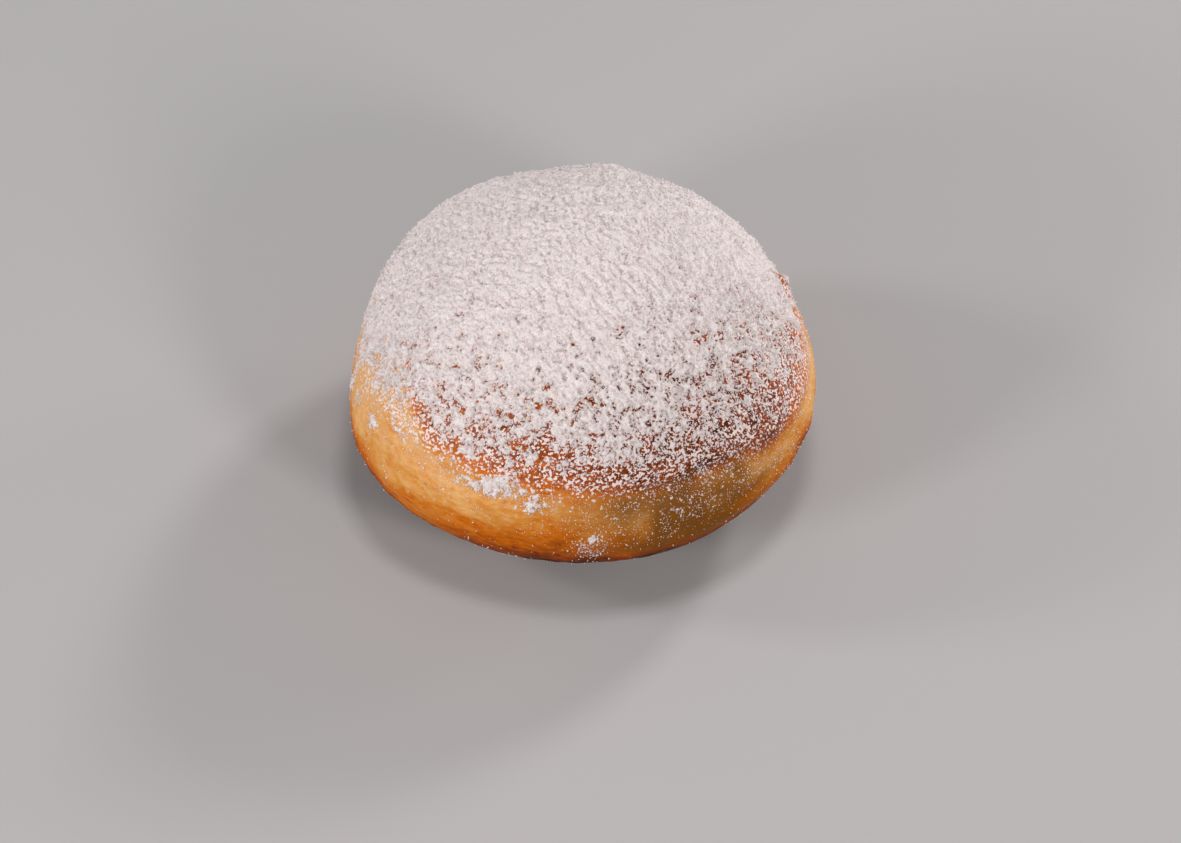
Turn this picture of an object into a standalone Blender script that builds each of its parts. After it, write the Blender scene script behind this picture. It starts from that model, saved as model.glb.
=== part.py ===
"""An uncut filled doughnut, dusted with icing sugar, as one closed solid.

The dough was fried afloat, first on one side and then on the other. That gives it its three zones:
a high crown that carries the sugar, a lower base, and between them the belt, a pale ring that stayed
above the fat and never browned. The apricot filling is shut inside and shows nowhere, so the dough is
solid. The form is a ball whose every vertex is moved to where a few named sizes put it.

Azimuths run anticlockwise from +X, seen from above, so the side that is seen first is at -90 degrees.
"""

import math

import bmesh
import bpy
from mathutils import Vector, noise

MM = 0.001

# Overall form. A power of 2 is an ellipse, less is more pointed and more is boxier.
MEAN_RADIUS = 42.5 * MM
HEIGHT = 51.5 * MM
WIDEST_HEIGHT = 20.4 * MM
CROWN_POWER = 1.80
BASE_POWER = 2.20
SETTLED_DEPTH = 0.45 * MM  # what the round base has lost by settling on its rest face

# Slow waves of the radius round the doughnut: lobes, share of the radius, azimuth of a high place.
CROWN_WAVES = (
    (1, 0.014, 105.0),
    (2, 0.020, 86.0),
    (3, 0.023, -17.0),
    (4, 0.011, -43.0),
    (5, 0.015, -5.0),
)
BASE_WAVES = (
    (2, 0.020, 59.0),
    (3, 0.008, -26.0),
    (4, 0.012, 31.0),
    (5, 0.007, -13.0),
)

# Where crown and belt meet there is a groove, deepest at the front right, and the belt swells below it.
# It does not run level: these are the heights of its line at a few azimuths.
CROWN_EDGE = (
    (-152.0, 33.0 * MM),
    (-127.0, 27.6 * MM),
    (-90.0, 28.5 * MM),
    (-50.0, 27.6 * MM),
    (-25.0, 24.0 * MM),
    (20.0, 26.0 * MM),
    (90.0, 28.5 * MM),
    (150.0, 31.5 * MM),
)
GROOVE_WIDTH = 1.9 * MM
GROOVE_DEPTH = 0.35 * MM
GROOVE_EXTRA_DEPTH = 1.05 * MM
GROOVE_DEEPEST_AT = -57.0
GROOVE_DEEP_SPREAD = 34.0
SWELL_BELOW_GROOVE = 6.5 * MM
SWELL_WIDTH = 4.2 * MM
SWELL_HEIGHT = 0.65 * MM

# A second, short wrinkle low on the belt, with a ridge along its lower side.
WRINKLE_AT = -42.0
WRINKLE_SPREAD = 15.0
WRINKLE_HEIGHT = 21.0 * MM
WRINKLE_WIDTH = 1.3 * MM
WRINKLE_DEPTH = 0.6 * MM
RIDGE_BELOW_WRINKLE = 2.2 * MM
RIDGE_HEIGHT = 0.4 * MM

# Single high and low places: azimuth, height above the rest face, reach along the skin, height.
HIGH_AND_LOW_PLACES = (
    (84.0, 39.0 * MM, 5.0 * MM, 0.55 * MM),  # knob on the back of the crown
    (67.0, 38.5 * MM, 5.0 * MM, -0.45 * MM),  # dent beside the knob
    (27.0, 37.0 * MM, 7.0 * MM, -0.70 * MM),  # flat shoulder at the back right
    (21.0, 30.5 * MM, 1.9 * MM, 1.50 * MM),  # nub of dough on that shoulder
    (-73.0, 45.0 * MM, 5.0 * MM, -0.50 * MM),  # hollow in the front of the crown
    (-111.0, 25.6 * MM, 3.0 * MM, 0.50 * MM),  # clot of sugar that fell on the belt
)

# Unevenness of the skin, and the lumps that the sugar lies in on the crown.
SKIN_WAVELENGTH = 17.0 * MM
SKIN_RELIEF = 0.30 * MM
LUMP_WAVELENGTH = 4.6 * MM
LUMP_RELIEF = 0.42 * MM
SUGAR_FADE = 5.0 * MM  # how far above the crown's edge the sugar reaches its full depth

# Mesh. One ring of vertices is led along the edge of the crown, and its neighbours give way.
SEGMENTS_AROUND = 96
RINGS = 54
EDGE_RING_LATITUDE = math.radians(5 * 180.0 / RINGS)
LEADING_SPREAD = math.radians(25.0)

CRUST_BROWN = (0.47, 0.19, 0.065, 1.0)
CRUST_ROUGHNESS = 0.55


def turn_between(azimuth, centre):
    """Returns how far an azimuth is from a centre, in degrees, the short way round."""
    return (azimuth - centre + 180.0) % 360.0 - 180.0


def bell(offset, spread):
    """Returns 1 at no offset, falling smoothly to nothing at about twice the spread."""
    return math.exp(-((offset / spread) ** 2))


def ease(share):
    """Returns a smooth step from 0 to 1 as the share goes from 0 to 1."""
    share = min(max(share, 0.0), 1.0)
    return share * share * (3.0 - 2.0 * share)


def wave_share(waves, azimuth):
    """Returns by what share of the radius the slow waves raise the skin at an azimuth."""
    return sum(
        share * math.cos(math.radians(lobes * (azimuth - high)))
        for lobes, share, high in waves
    )


def crown_edge_height(azimuth):
    """Returns the height at which crown and belt meet, eased from one known azimuth to the next."""
    stations = CROWN_EDGE + ((CROWN_EDGE[0][0] + 360.0, CROWN_EDGE[0][1]),)
    turned = (azimuth - stations[0][0]) % 360.0 + stations[0][0]
    for (start, low), (end, high) in zip(stations, stations[1:]):
        if turned <= end:
            return low + (high - low) * ease((turned - start) / (end - start))
    return stations[-1][1]


def plain_point(latitude, azimuth):
    """Returns the point of the smooth form at a latitude and an azimuth, and the skin's normal there."""
    up = latitude >= 0.0
    power = CROWN_POWER if up else BASE_POWER
    reach = HEIGHT - WIDEST_HEIGHT if up else WIDEST_HEIGHT + SETTLED_DEPTH
    out_share = abs(math.cos(latitude)) ** (2.0 / power)
    up_share = math.copysign(abs(math.sin(latitude)) ** (2.0 / power), latitude)
    crown = ease((math.sin(latitude) + 1.0) / 2.0)
    waves = crown * wave_share(CROWN_WAVES, azimuth) + (1.0 - crown) * wave_share(BASE_WAVES, azimuth)
    radius = MEAN_RADIUS * out_share * (1.0 + waves)
    around = Vector((math.cos(math.radians(azimuth)), math.sin(math.radians(azimuth)), 0.0))
    point = around * radius
    point.z = WIDEST_HEIGHT + reach * up_share
    normal = around * (out_share ** (power - 1.0) / MEAN_RADIUS)
    normal.z = math.copysign(abs(up_share) ** (power - 1.0) / reach, latitude)
    return point, normal.normalized()


def led_latitude(latitude, azimuth):
    """Returns the latitude at which a ring's vertex is put, so that one ring follows the crown's edge."""
    rise = (crown_edge_height(azimuth) - WIDEST_HEIGHT) / (HEIGHT - WIDEST_HEIGHT)
    edge_latitude = math.asin(rise ** (CROWN_POWER / 2.0))
    lead = edge_latitude - EDGE_RING_LATITUDE
    return latitude + lead * bell(latitude - EDGE_RING_LATITUDE, LEADING_SPREAD)


def belt_relief(height, azimuth):
    """Returns how far the groove, the swelling and the wrinkle move the skin outwards."""
    edge = crown_edge_height(azimuth)
    deep = bell(turn_between(azimuth, GROOVE_DEEPEST_AT), GROOVE_DEEP_SPREAD)
    groove = (GROOVE_DEPTH + GROOVE_EXTRA_DEPTH * deep) * bell(height - edge, GROOVE_WIDTH)
    swell = SWELL_HEIGHT * deep * bell(height - edge + SWELL_BELOW_GROOVE, SWELL_WIDTH)
    wrinkled = bell(turn_between(azimuth, WRINKLE_AT), WRINKLE_SPREAD)
    fold = WRINKLE_DEPTH * bell(height - WRINKLE_HEIGHT, WRINKLE_WIDTH)
    ridge = RIDGE_HEIGHT * bell(height - WRINKLE_HEIGHT + RIDGE_BELOW_WRINKLE, WRINKLE_WIDTH)
    return swell - groove + wrinkled * (ridge - fold)


def place_relief(point, azimuth):
    """Returns how far the single high and low places move the skin outwards."""
    total = 0.0
    for place_azimuth, place_height, reach, height in HIGH_AND_LOW_PLACES:
        radius = math.hypot(point.x, point.y)
        along = math.radians(turn_between(azimuth, place_azimuth)) * radius
        total += height * bell(along, reach) * bell(point.z - place_height, reach)
    return total


def sugar_relief(point, azimuth):
    """Returns how far the lumps of the sugar raise or lower the crown."""
    cover = ease((point.z - crown_edge_height(azimuth)) / SUGAR_FADE)
    return LUMP_RELIEF * cover * noise.noise(point / LUMP_WAVELENGTH)


def doughnut_point(latitude, azimuth):
    """Returns the point of the finished skin at a latitude and an azimuth."""
    point, normal = plain_point(latitude, azimuth)
    relief = belt_relief(point.z, azimuth) + place_relief(point, azimuth)
    relief += SKIN_RELIEF * noise.noise(point / SKIN_WAVELENGTH)
    relief += sugar_relief(point, azimuth)
    return point + normal * relief


def shape_ball(mesh):
    """Moves every vertex of a unit ball to its place on the doughnut."""
    for vertex in mesh.verts:
        direction = vertex.co.normalized()
        latitude = math.asin(min(max(direction.z, -1.0), 1.0))
        azimuth = math.degrees(math.atan2(direction.y, direction.x))
        vertex.co = doughnut_point(led_latitude(latitude, azimuth), azimuth)


def settle_on_rest_face(mesh):
    """Cuts the round base off level, which leaves the small flat face that the doughnut rests on."""
    geometry = mesh.verts[:] + mesh.edges[:] + mesh.faces[:]
    bmesh.ops.bisect_plane(
        mesh, geom=geometry, dist=1e-6, plane_co=(0.0, 0.0, 0.0), plane_no=(0.0, 0.0, 1.0), clear_inner=True
    )
    rim = [edge for edge in mesh.edges if edge.is_boundary]
    bmesh.ops.remove_doubles(mesh, verts=list({vertex for edge in rim for vertex in edge.verts}), dist=5e-5)
    bmesh.ops.holes_fill(mesh, edges=[edge for edge in mesh.edges if edge.is_boundary], sides=0)


def centre_over_origin(mesh):
    """Slides the doughnut sideways until the origin is under the middle of its box."""
    for axis in range(2):
        places = [vertex.co[axis] for vertex in mesh.verts]
        middle = (min(places) + max(places)) / 2.0
        for vertex in mesh.verts:
            vertex.co[axis] -= middle


def crust_material():
    """Returns the crust's material, a browned and slightly oily skin."""
    material = bpy.data.materials.new("fried_crust")
    material.use_nodes = True
    shader = material.node_tree.nodes["Principled BSDF"]
    shader.inputs["Base Color"].default_value = CRUST_BROWN
    shader.inputs["Roughness"].default_value = CRUST_ROUGHNESS
    shader.inputs["Metallic"].default_value = 0.0
    return material


def build_doughnut():
    """Builds the doughnut as one object."""
    mesh = bmesh.new()
    bmesh.ops.create_uvsphere(mesh, u_segments=SEGMENTS_AROUND, v_segments=RINGS, radius=1.0)
    shape_ball(mesh)
    settle_on_rest_face(mesh)
    centre_over_origin(mesh)
    bmesh.ops.triangulate(mesh, faces=mesh.faces[:])
    bmesh.ops.recalc_face_normals(mesh, faces=mesh.faces[:])
    data = bpy.data.meshes.new("doughnut")
    mesh.to_mesh(data)
    mesh.free()
    data.shade_smooth()
    data.set_sharp_from_angle(angle=math.radians(40.0))
    data.materials.append(crust_material())
    doughnut = bpy.data.objects.new("doughnut", data)
    bpy.context.collection.objects.link(doughnut)
    return doughnut


def main():
    """Clears the scene and builds the part."""
    for old in list(bpy.data.objects):
        bpy.data.objects.remove(old, do_unlink=True)
    build_doughnut()


main()
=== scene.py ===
"""Dresses an uncut apricot filled doughnut: a fried crust under a blanket of loose icing sugar.

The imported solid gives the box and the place. The dough is built again as a fine mesh on the same form,
lowered under the sugar by the sugar's own depth. The sugar is real mesh too: a crumbly blanket with pits
and gaps, clots and grains lying on it, and dust that has fallen on the belt. All lengths are in metres.
"""

import logging
import math
from dataclasses import dataclass
from enum import Enum
from itertools import product

import bmesh
import bpy
import numpy as np
from mathutils import Matrix, Vector, noise
from numpy.typing import NDArray


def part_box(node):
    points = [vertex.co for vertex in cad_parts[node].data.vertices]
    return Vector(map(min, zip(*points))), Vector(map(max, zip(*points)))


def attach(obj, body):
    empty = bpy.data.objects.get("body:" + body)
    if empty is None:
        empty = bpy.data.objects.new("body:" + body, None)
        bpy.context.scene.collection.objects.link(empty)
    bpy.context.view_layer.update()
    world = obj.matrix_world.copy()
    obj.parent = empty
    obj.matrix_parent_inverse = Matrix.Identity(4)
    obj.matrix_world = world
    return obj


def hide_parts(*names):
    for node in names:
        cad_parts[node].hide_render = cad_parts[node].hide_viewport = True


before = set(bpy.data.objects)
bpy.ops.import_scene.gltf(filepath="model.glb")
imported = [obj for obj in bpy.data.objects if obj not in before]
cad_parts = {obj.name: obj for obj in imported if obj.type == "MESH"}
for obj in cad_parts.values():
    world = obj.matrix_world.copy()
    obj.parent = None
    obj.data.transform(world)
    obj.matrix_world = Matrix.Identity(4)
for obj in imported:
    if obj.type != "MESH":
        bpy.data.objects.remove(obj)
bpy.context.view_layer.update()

Floats = NDArray[np.float64]
Ints = NDArray[np.int64]

MM = 0.001
BODY = "root"
NODE = "doughnut"

# Large odd numbers that mix whole numbers well, so that neighbouring cells get unrelated values.
CELL_MIXERS = (73856093, 19349663, 83492791)
SEED_MIXER = 668265263
ROUND_MIXERS = (0x2C1B3C6D, 0x297A2D39)
WORD = 0xFFFFFFFF

# The inputs of a range node, and the noise between which nearly all of a noise texture lies.
RANGE = ("From Min", "From Max", "To Min", "To Max")
USUAL_NOISE = (0.3, 0.7)

log = logging.getLogger("doughnut")


def ease(share: Floats) -> Floats:
    """Returns a smooth step from 0 to 1 as the share goes from 0 to 1."""
    held = np.clip(share, 0.0, 1.0)
    return held * held * (3.0 - 2.0 * held)


def bell(offset: Floats, spread: float) -> Floats:
    """Returns 1 at no offset, falling smoothly to nothing at about twice the spread."""
    return np.exp(-((offset / spread) ** 2))


def turn_between(azimuth: Floats, centre: float) -> Floats:
    """Returns how far azimuths are from a centre, in degrees, the short way round."""
    return (azimuth - centre + 180.0) % 360.0 - 180.0


def lifted(share: Floats, least: float) -> Floats:
    """Returns a share from 0 to 1 drawn together so that it starts from a least value."""
    return least + (1.0 - least) * share


def evened(value: Floats, slope: float) -> Floats:
    """Returns values round 0 spread over 0 to 1, more abruptly with a greater slope."""
    return 1.0 / (1.0 + np.exp(-slope * value))


@dataclass(frozen=True)
class LatticeNoise:
    """A smooth random field over space, the same at each run.

    Attributes:
        seed: Which field it is.
    """

    seed: int

    def _hashed(self, cells: Ints) -> Ints:
        """Returns a well mixed whole number for each cell of the lattice.

        Args:
            cells: Lattice cells, one a row.

        Returns:
            One number for each cell.
        """
        by_x, by_y, by_z = (cells[..., axis] * CELL_MIXERS[axis] for axis in range(3))
        mixed = (by_x ^ by_y ^ by_z ^ (self.seed * SEED_MIXER)) & WORD
        for _ in range(2):
            mixed = ((mixed ^ (mixed >> 15)) * ROUND_MIXERS[0]) & WORD
            mixed = ((mixed ^ (mixed >> 12)) * ROUND_MIXERS[1]) & WORD
        return mixed ^ (mixed >> 15)

    def _vectors(self, cells: Ints) -> Floats:
        """Returns a random vector for each cell, each of its parts from 0 to 1."""
        mixed = self._hashed(cells)
        return np.stack([(mixed >> shift & 1023) / 1023.0 for shift in (0, 10, 20)], axis=-1)

    def swell(self, points: Floats, wavelength: float) -> Floats:
        """Returns rolling noise.

        Args:
            points: Places, one a row.
            wavelength: Rough distance from one crest to the next.

        Returns:
            Values round 0 that seldom pass 1 or -1.
        """
        scaled = points / wavelength
        base = np.floor(scaled)
        local = scaled - base
        fade = local**3 * (local * (local * 6.0 - 15.0) + 10.0)
        total = np.zeros(len(points))
        for corner in product((0, 1), repeat=3):
            offset = np.array(corner)
            slope = self._vectors(base.astype(np.int64) + offset) * 2.0 - 1.0
            weight = np.prod(np.where(offset, fade, 1.0 - fade), axis=-1)
            total += weight * np.sum(slope * (local - offset), axis=-1)
        return total * 1.9

    def lumps(self, points: Floats, spacing: float) -> tuple[Floats, Floats]:
        """Returns a field of round lumps, one for each cell of a jittered lattice.

        Args:
            points: Places, one a row.
            spacing: Distance from one lump to the next.

        Returns:
            Distance to the nearest lump's middle, in spacings, and that lump's own random value.
        """
        scaled = points / spacing
        base = np.floor(scaled)
        nearest = np.full(len(points), 9.0)
        own = np.zeros(len(points))
        for neighbour in product((-1, 0, 1), repeat=3):
            cells = base.astype(np.int64) + np.array(neighbour)
            jitter = self._vectors(cells)
            distance = np.linalg.norm(cells + jitter - scaled, axis=-1)
            closer = distance < nearest
            nearest = np.where(closer, distance, nearest)
            own = np.where(closer, jitter[:, 0], own)
        return nearest, own


@dataclass(frozen=True)
class Swell:
    """Rolling noise of one size.

    Attributes:
        seed: Which random field it is.
        wavelength_mm: Rough distance from one crest to the next.
        gain: What its crests reach.
    """

    seed: int
    wavelength_mm: float
    gain: float = 1.0

    def at(self, points: Floats) -> Floats:
        """Returns the noise at each point."""
        return self.gain * LatticeNoise(self.seed).swell(points, self.wavelength_mm * MM)


def swells_at(swells: tuple[Swell, ...], points: Floats) -> Floats:
    """Returns the sum of several swells at each point."""
    return np.sum([swell.at(points) for swell in swells], axis=0)


@dataclass(frozen=True)
class Side:
    """A side of the doughnut, as a soft range of azimuths.

    Attributes:
        centre: Its middle, in degrees.
        spread: How far it reaches from there, in degrees.
    """

    centre: float
    spread: float

    def at(self, azimuth: Floats) -> Floats:
        """Returns 1 in the middle, falling smoothly to nothing at about twice the spread."""
        return bell(turn_between(azimuth, self.centre), self.spread)


@dataclass(frozen=True)
class Rise:
    """A smooth rise from 0 to 1 over a stretch of height.

    Attributes:
        start_mm: Height at which it begins.
        width_mm: How far up it goes on, less than nothing for a rise on the way down.
    """

    start_mm: float
    width_mm: float

    def at(self, height: Floats) -> Floats:
        """Returns how far the rise has got at each height."""
        return ease((height - self.start_mm * MM) / (self.width_mm * MM))


@dataclass(frozen=True)
class RoundLine:
    """A height that changes slowly round the doughnut, such as that of an edge.

    Attributes:
        stations: Azimuths in degrees, rising, each with the height there in millimetres.
    """

    stations: tuple[tuple[float, float], ...]

    def at(self, azimuth: Floats) -> Floats:
        """Returns the height at each azimuth, eased from station to station.

        Args:
            azimuth: Azimuths, in degrees, one for each point.

        Returns:
            One height for each azimuth.
        """
        first = self.stations[0]
        closed = self.stations + ((first[0] + 360.0, first[1]),)
        turned = (azimuth - first[0]) % 360.0 + first[0]
        heights = np.zeros_like(azimuth)
        for (start, low), (end, high) in zip(closed, closed[1:]):
            between = (turned >= start) & (turned <= end)
            share = ease((turned[between] - start) / (end - start))
            heights[between] = low * MM + (high * MM - low * MM) * share
        return heights


@dataclass(frozen=True)
class Wave:
    """A slow wave of the radius round the doughnut.

    Attributes:
        lobes: How many high places it has on its way round.
        share: Its height as a share of the radius.
        high: Azimuth of a high place, in degrees.
    """

    lobes: int
    share: float
    high: float


@dataclass(frozen=True)
class Place:
    """A single high or low place of the skin.

    Attributes:
        azimuth: Where it is round the doughnut, in degrees.
        height_mm: Where it is above the rest face.
        reach_mm: How far it spreads along the skin.
        relief_mm: How far it stands out, less than nothing for a dent.
    """

    azimuth: float
    height_mm: float
    reach_mm: float
    relief_mm: float


@dataclass(frozen=True)
class DoughForm:
    """The form of the doughnut: high crown, lower base and the belt between them.

    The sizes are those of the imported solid, and the whole is slid so that its box is the solid's box.

    Attributes:
        mean_radius: Half the mean width.
        height: Overall height.
        widest_height: Height of the widest ring.
        crown_power: Superellipse power of the crown; 2 is an ellipse.
        base_power: Superellipse power of the base.
        settled_depth: What the round base has lost by settling.
        crown_waves: Slow waves of the radius over the crown.
        base_waves: The same over the base.
        crown_edge: Height of the line where crown and belt meet.
        places: Single high and low places.
        groove_width: Width of the groove along that line.
        groove_depth: Its depth.
        groove_extra_depth: How much deeper it is where it is deepest.
        groove_deep: Where that is.
        swell_below_groove: How far under the deep groove the belt swells.
        swell_width: Half the height of that swelling.
        swell_height: How far it stands out.
        wrinkled: Where the second, short wrinkle is.
        wrinkle_height: Its height over the rest face.
        wrinkle_width: Its width, and that of the ridge under it.
        wrinkle_depth: Its depth.
        ridge_below_wrinkle: How far under it the ridge is.
        ridge_height: How far the ridge stands out.
        skin_wavelength: Distance between the low swells of the whole skin.
        skin_relief: Their height.
        lump_wavelength: Distance between the lumps that the sugar lies in.
        lump_relief: Their height.
        sugar_fade: Where over the crown's edge those lumps begin and are whole.
        bulges: Noise of the fried skin's bulges.
        folds: Noise of its folds.
        fold_squash: How many times wider than high both are.
        folds_under_sugar: What is left of both under the sugar.
        slide: How far the form is moved to the solid's place.
    """

    mean_radius: float = 42.5 * MM
    height: float = 51.5 * MM
    widest_height: float = 20.4 * MM
    crown_power: float = 1.80
    base_power: float = 2.20
    settled_depth: float = 0.45 * MM
    crown_waves: tuple[Wave, ...] = (
        Wave(1, 0.014, 105.0),
        Wave(2, 0.020, 86.0),
        Wave(3, 0.023, -17.0),
        Wave(4, 0.011, -43.0),
        Wave(5, 0.015, -5.0),
    )
    base_waves: tuple[Wave, ...] = (
        Wave(2, 0.020, 59.0),
        Wave(3, 0.008, -26.0),
        Wave(4, 0.012, 31.0),
        Wave(5, 0.007, -13.0),
    )
    crown_edge: RoundLine = RoundLine(
        (
            *((-152.0, 33.0), (-127.0, 27.6), (-90.0, 28.5), (-50.0, 27.6)),
            *((-25.0, 24.0), (20.0, 26.0), (90.0, 28.5), (150.0, 31.5)),
        )
    )
    places: tuple[Place, ...] = (
        Place(84.0, 39.0, 5.0, 0.55),
        Place(67.0, 38.5, 5.0, -0.45),
        Place(27.0, 37.0, 7.0, -0.70),
        Place(21.0, 30.5, 1.9, 1.50),
        Place(-73.0, 45.0, 5.0, -0.50),
        Place(-111.0, 25.6, 3.0, 0.50),
    )
    groove_width: float = 1.9 * MM
    groove_depth: float = 0.35 * MM
    groove_extra_depth: float = 1.05 * MM
    groove_deep: Side = Side(-57.0, 34.0)
    swell_below_groove: float = 6.5 * MM
    swell_width: float = 4.2 * MM
    swell_height: float = 0.65 * MM
    wrinkled: Side = Side(-42.0, 15.0)
    wrinkle_height: float = 21.0 * MM
    wrinkle_width: float = 1.3 * MM
    wrinkle_depth: float = 0.6 * MM
    ridge_below_wrinkle: float = 2.2 * MM
    ridge_height: float = 0.4 * MM
    skin_wavelength: float = 17.0 * MM
    skin_relief: float = 0.30 * MM
    lump_wavelength: float = 4.6 * MM
    lump_relief: float = 0.42 * MM
    sugar_fade: Rise = Rise(0.0, 5.0)
    bulges: Swell = Swell(33, 7.0, 0.22 * MM)
    folds: tuple[Swell, ...] = (Swell(31, 3.2, 0.12 * MM), Swell(32, 1.696, 0.06 * MM))
    fold_squash: float = 1.9
    folds_under_sugar: float = 0.3
    slide: tuple[float, float] = (0.0, 0.0)

    def led_latitude(self, latitude: Floats, azimuth: Floats, ring: float, spread: float) -> Floats:
        """Leads a ring of vertices along the edge of the crown.

        Args:
            latitude: Latitudes of the vertices before, in radians.
            azimuth: Their azimuths, in degrees.
            ring: Latitude of the ring that is led.
            spread: How far from that ring its neighbours give way.

        Returns:
            The latitudes to use, in radians.
        """
        rise = (self.crown_edge.at(azimuth) - self.widest_height) / (self.height - self.widest_height)
        lead = np.arcsin(rise ** (self.crown_power / 2.0)) - ring
        return latitude + lead * bell(latitude - ring, spread)

    def _wave_share(self, waves: tuple[Wave, ...], azimuth: Floats) -> Floats:
        """Returns by what share of the radius the slow waves raise the skin."""
        turns = [wave.share * np.cos(np.radians(wave.lobes * (azimuth - wave.high))) for wave in waves]
        return np.sum(turns, axis=0)

    def plain(self, latitude: Floats, azimuth: Floats) -> tuple[Floats, Floats]:
        """Returns the points of the smooth form, before any relief, and the normals there.

        Args:
            latitude: Latitudes, in radians, one for each point.
            azimuth: Azimuths, in degrees, one for each point.

        Returns:
            Points and unit normals, one a row.
        """
        up = latitude >= 0.0
        power = np.where(up, self.crown_power, self.base_power)
        reach = np.where(up, self.height - self.widest_height, self.widest_height + self.settled_depth)
        out_share = np.abs(np.cos(latitude)) ** (2.0 / power)
        up_share = np.sign(latitude) * np.abs(np.sin(latitude)) ** (2.0 / power)
        crown = ease((np.sin(latitude) + 1.0) / 2.0)
        waves = crown * self._wave_share(self.crown_waves, azimuth)
        waves += (1.0 - crown) * self._wave_share(self.base_waves, azimuth)
        around = np.stack([np.cos(np.radians(azimuth)), np.sin(np.radians(azimuth))], axis=-1)
        radius = self.mean_radius * out_share * (1.0 + waves)
        points = np.column_stack([around * radius[:, None], self.widest_height + reach * up_share])
        flat = around * (out_share ** (power - 1.0) / self.mean_radius)[:, None]
        steep = np.sign(latitude) * np.abs(up_share) ** (power - 1.0) / reach
        normals = np.column_stack([flat, steep])
        return points, normals / np.linalg.norm(normals, axis=-1, keepdims=True)

    def _belt_relief(self, height: Floats, azimuth: Floats) -> Floats:
        """Returns how far the groove, the swelling and the wrinkle move the skin outwards.

        Args:
            height: Heights over the rest face.
            azimuth: Azimuths, in degrees, one for each point.

        Returns:
            One distance for each point.
        """
        above = height - self.crown_edge.at(azimuth)
        deep = self.groove_deep.at(azimuth)
        groove = (self.groove_depth + self.groove_extra_depth * deep) * bell(above, self.groove_width)
        swelling = self.swell_height * deep * bell(above + self.swell_below_groove, self.swell_width)
        offset = height - self.wrinkle_height
        fold = self.wrinkle_depth * bell(offset, self.wrinkle_width)
        ridge = self.ridge_height * bell(offset + self.ridge_below_wrinkle, self.wrinkle_width)
        return swelling - groove + self.wrinkled.at(azimuth) * (ridge - fold)

    def _place_relief(self, points: Floats, azimuth: Floats) -> Floats:
        """Returns how far the single high and low places move the skin outwards.

        Args:
            points: Places on the skin, one a row.
            azimuth: Azimuths, in degrees, one for each point.

        Returns:
            One distance for each point.
        """
        radius = np.hypot(points[:, 0], points[:, 1])
        total = np.zeros(len(points))
        for place in self.places:
            reach = place.reach_mm * MM
            along = np.radians(turn_between(azimuth, place.azimuth)) * radius
            over = points[:, 2] - place.height_mm * MM
            total += place.relief_mm * MM * bell(along, reach) * bell(over, reach)
        return total

    def _rolling(self, points: Floats, wavelength: float) -> Floats:
        """Returns Blender's own noise at points, which is what the solid was made with."""
        return np.array([noise.noise(Vector(point)) for point in (points / wavelength).tolist()])

    def _fried_relief(self, points: Floats) -> Floats:
        """Returns how far the small folds and bulges of the fried skin, drawn out round it, stand out."""
        squashed = points * np.array([1.0, 1.0, self.fold_squash])
        return self.bulges.at(squashed) + swells_at(self.folds, squashed)

    def skin(self, latitude: Floats, azimuth: Floats) -> tuple[Floats, Floats]:
        """Returns the points of the finished outside, sugar included, and the plain form's normals.

        Args:
            latitude: Latitudes, in radians, one for each point.
            azimuth: Azimuths, in degrees, one for each point.

        Returns:
            Points and unit normals, one a row.
        """
        points, normals = self.plain(latitude, azimuth)
        relief = self._belt_relief(points[:, 2], azimuth) + self._place_relief(points, azimuth)
        relief += self.skin_relief * self._rolling(points, self.skin_wavelength)
        cover = self.sugar_fade.at(points[:, 2] - self.crown_edge.at(azimuth))
        relief += self.lump_relief * cover * self._rolling(points, self.lump_wavelength)
        relief += lifted(1.0 - cover, self.folds_under_sugar) * self._fried_relief(points)
        points = points + normals * relief[:, None]
        points[:, :2] += self.slide
        return points, normals


def srgb(code: str) -> tuple[float, float, float, float]:
    """Returns the linear colour, with an alpha of 1, of an sRGB hex code such as #C08040.

    Args:
        code: The code.

    Returns:
        Red, green, blue and alpha.
    """
    shares = [int(code[place : place + 2], 16) / 255.0 for place in (1, 3, 5)]
    linear = [s / 12.92 if s <= 0.04045 else ((s + 0.055) / 1.055) ** 2.4 for s in shares]
    return (linear[0], linear[1], linear[2], 1.0)


def add_node(
    tree: bpy.types.NodeTree,
    kind: str,
    output: str | int,
    links: dict | None = None,
    values: dict | None = None,
    **settings: object,
) -> bpy.types.NodeSocket:
    """Adds a node with its settings and links.

    Args:
        tree: The node tree that gets it.
        kind: Blender's name for the kind of node, after the word ShaderNode.
        output: Name or number of the output that is wanted.
        links: Names or numbers of inputs, each with the output that feeds it.
        values: Names or numbers of inputs, each with its value.
        settings: The node's own settings, by name.

    Returns:
        The wanted output of the new node.
    """
    node = tree.nodes.new("ShaderNode" + kind)
    for name, value in settings.items():
        setattr(node, name, value)
    for name, value in (values or {}).items():
        node.inputs[name].default_value = value
    for name, source in (links or {}).items():
        tree.links.new(source, node.inputs[name])
    return node.outputs[output]


def set_ramp(node: bpy.types.Node, stops: tuple[tuple[float, str], ...]) -> None:
    """Sets a colour ramp's stops, each a place from 0 to 1 and an sRGB hex code.

    Args:
        node: The ramp's node.
        stops: The stops.
    """
    elements = node.color_ramp.elements
    while len(elements) < len(stops):
        elements.new(0.5)
    for element, (place, code) in zip(elements, stops):
        element.position = place
        element.color = srgb(code)


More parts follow.
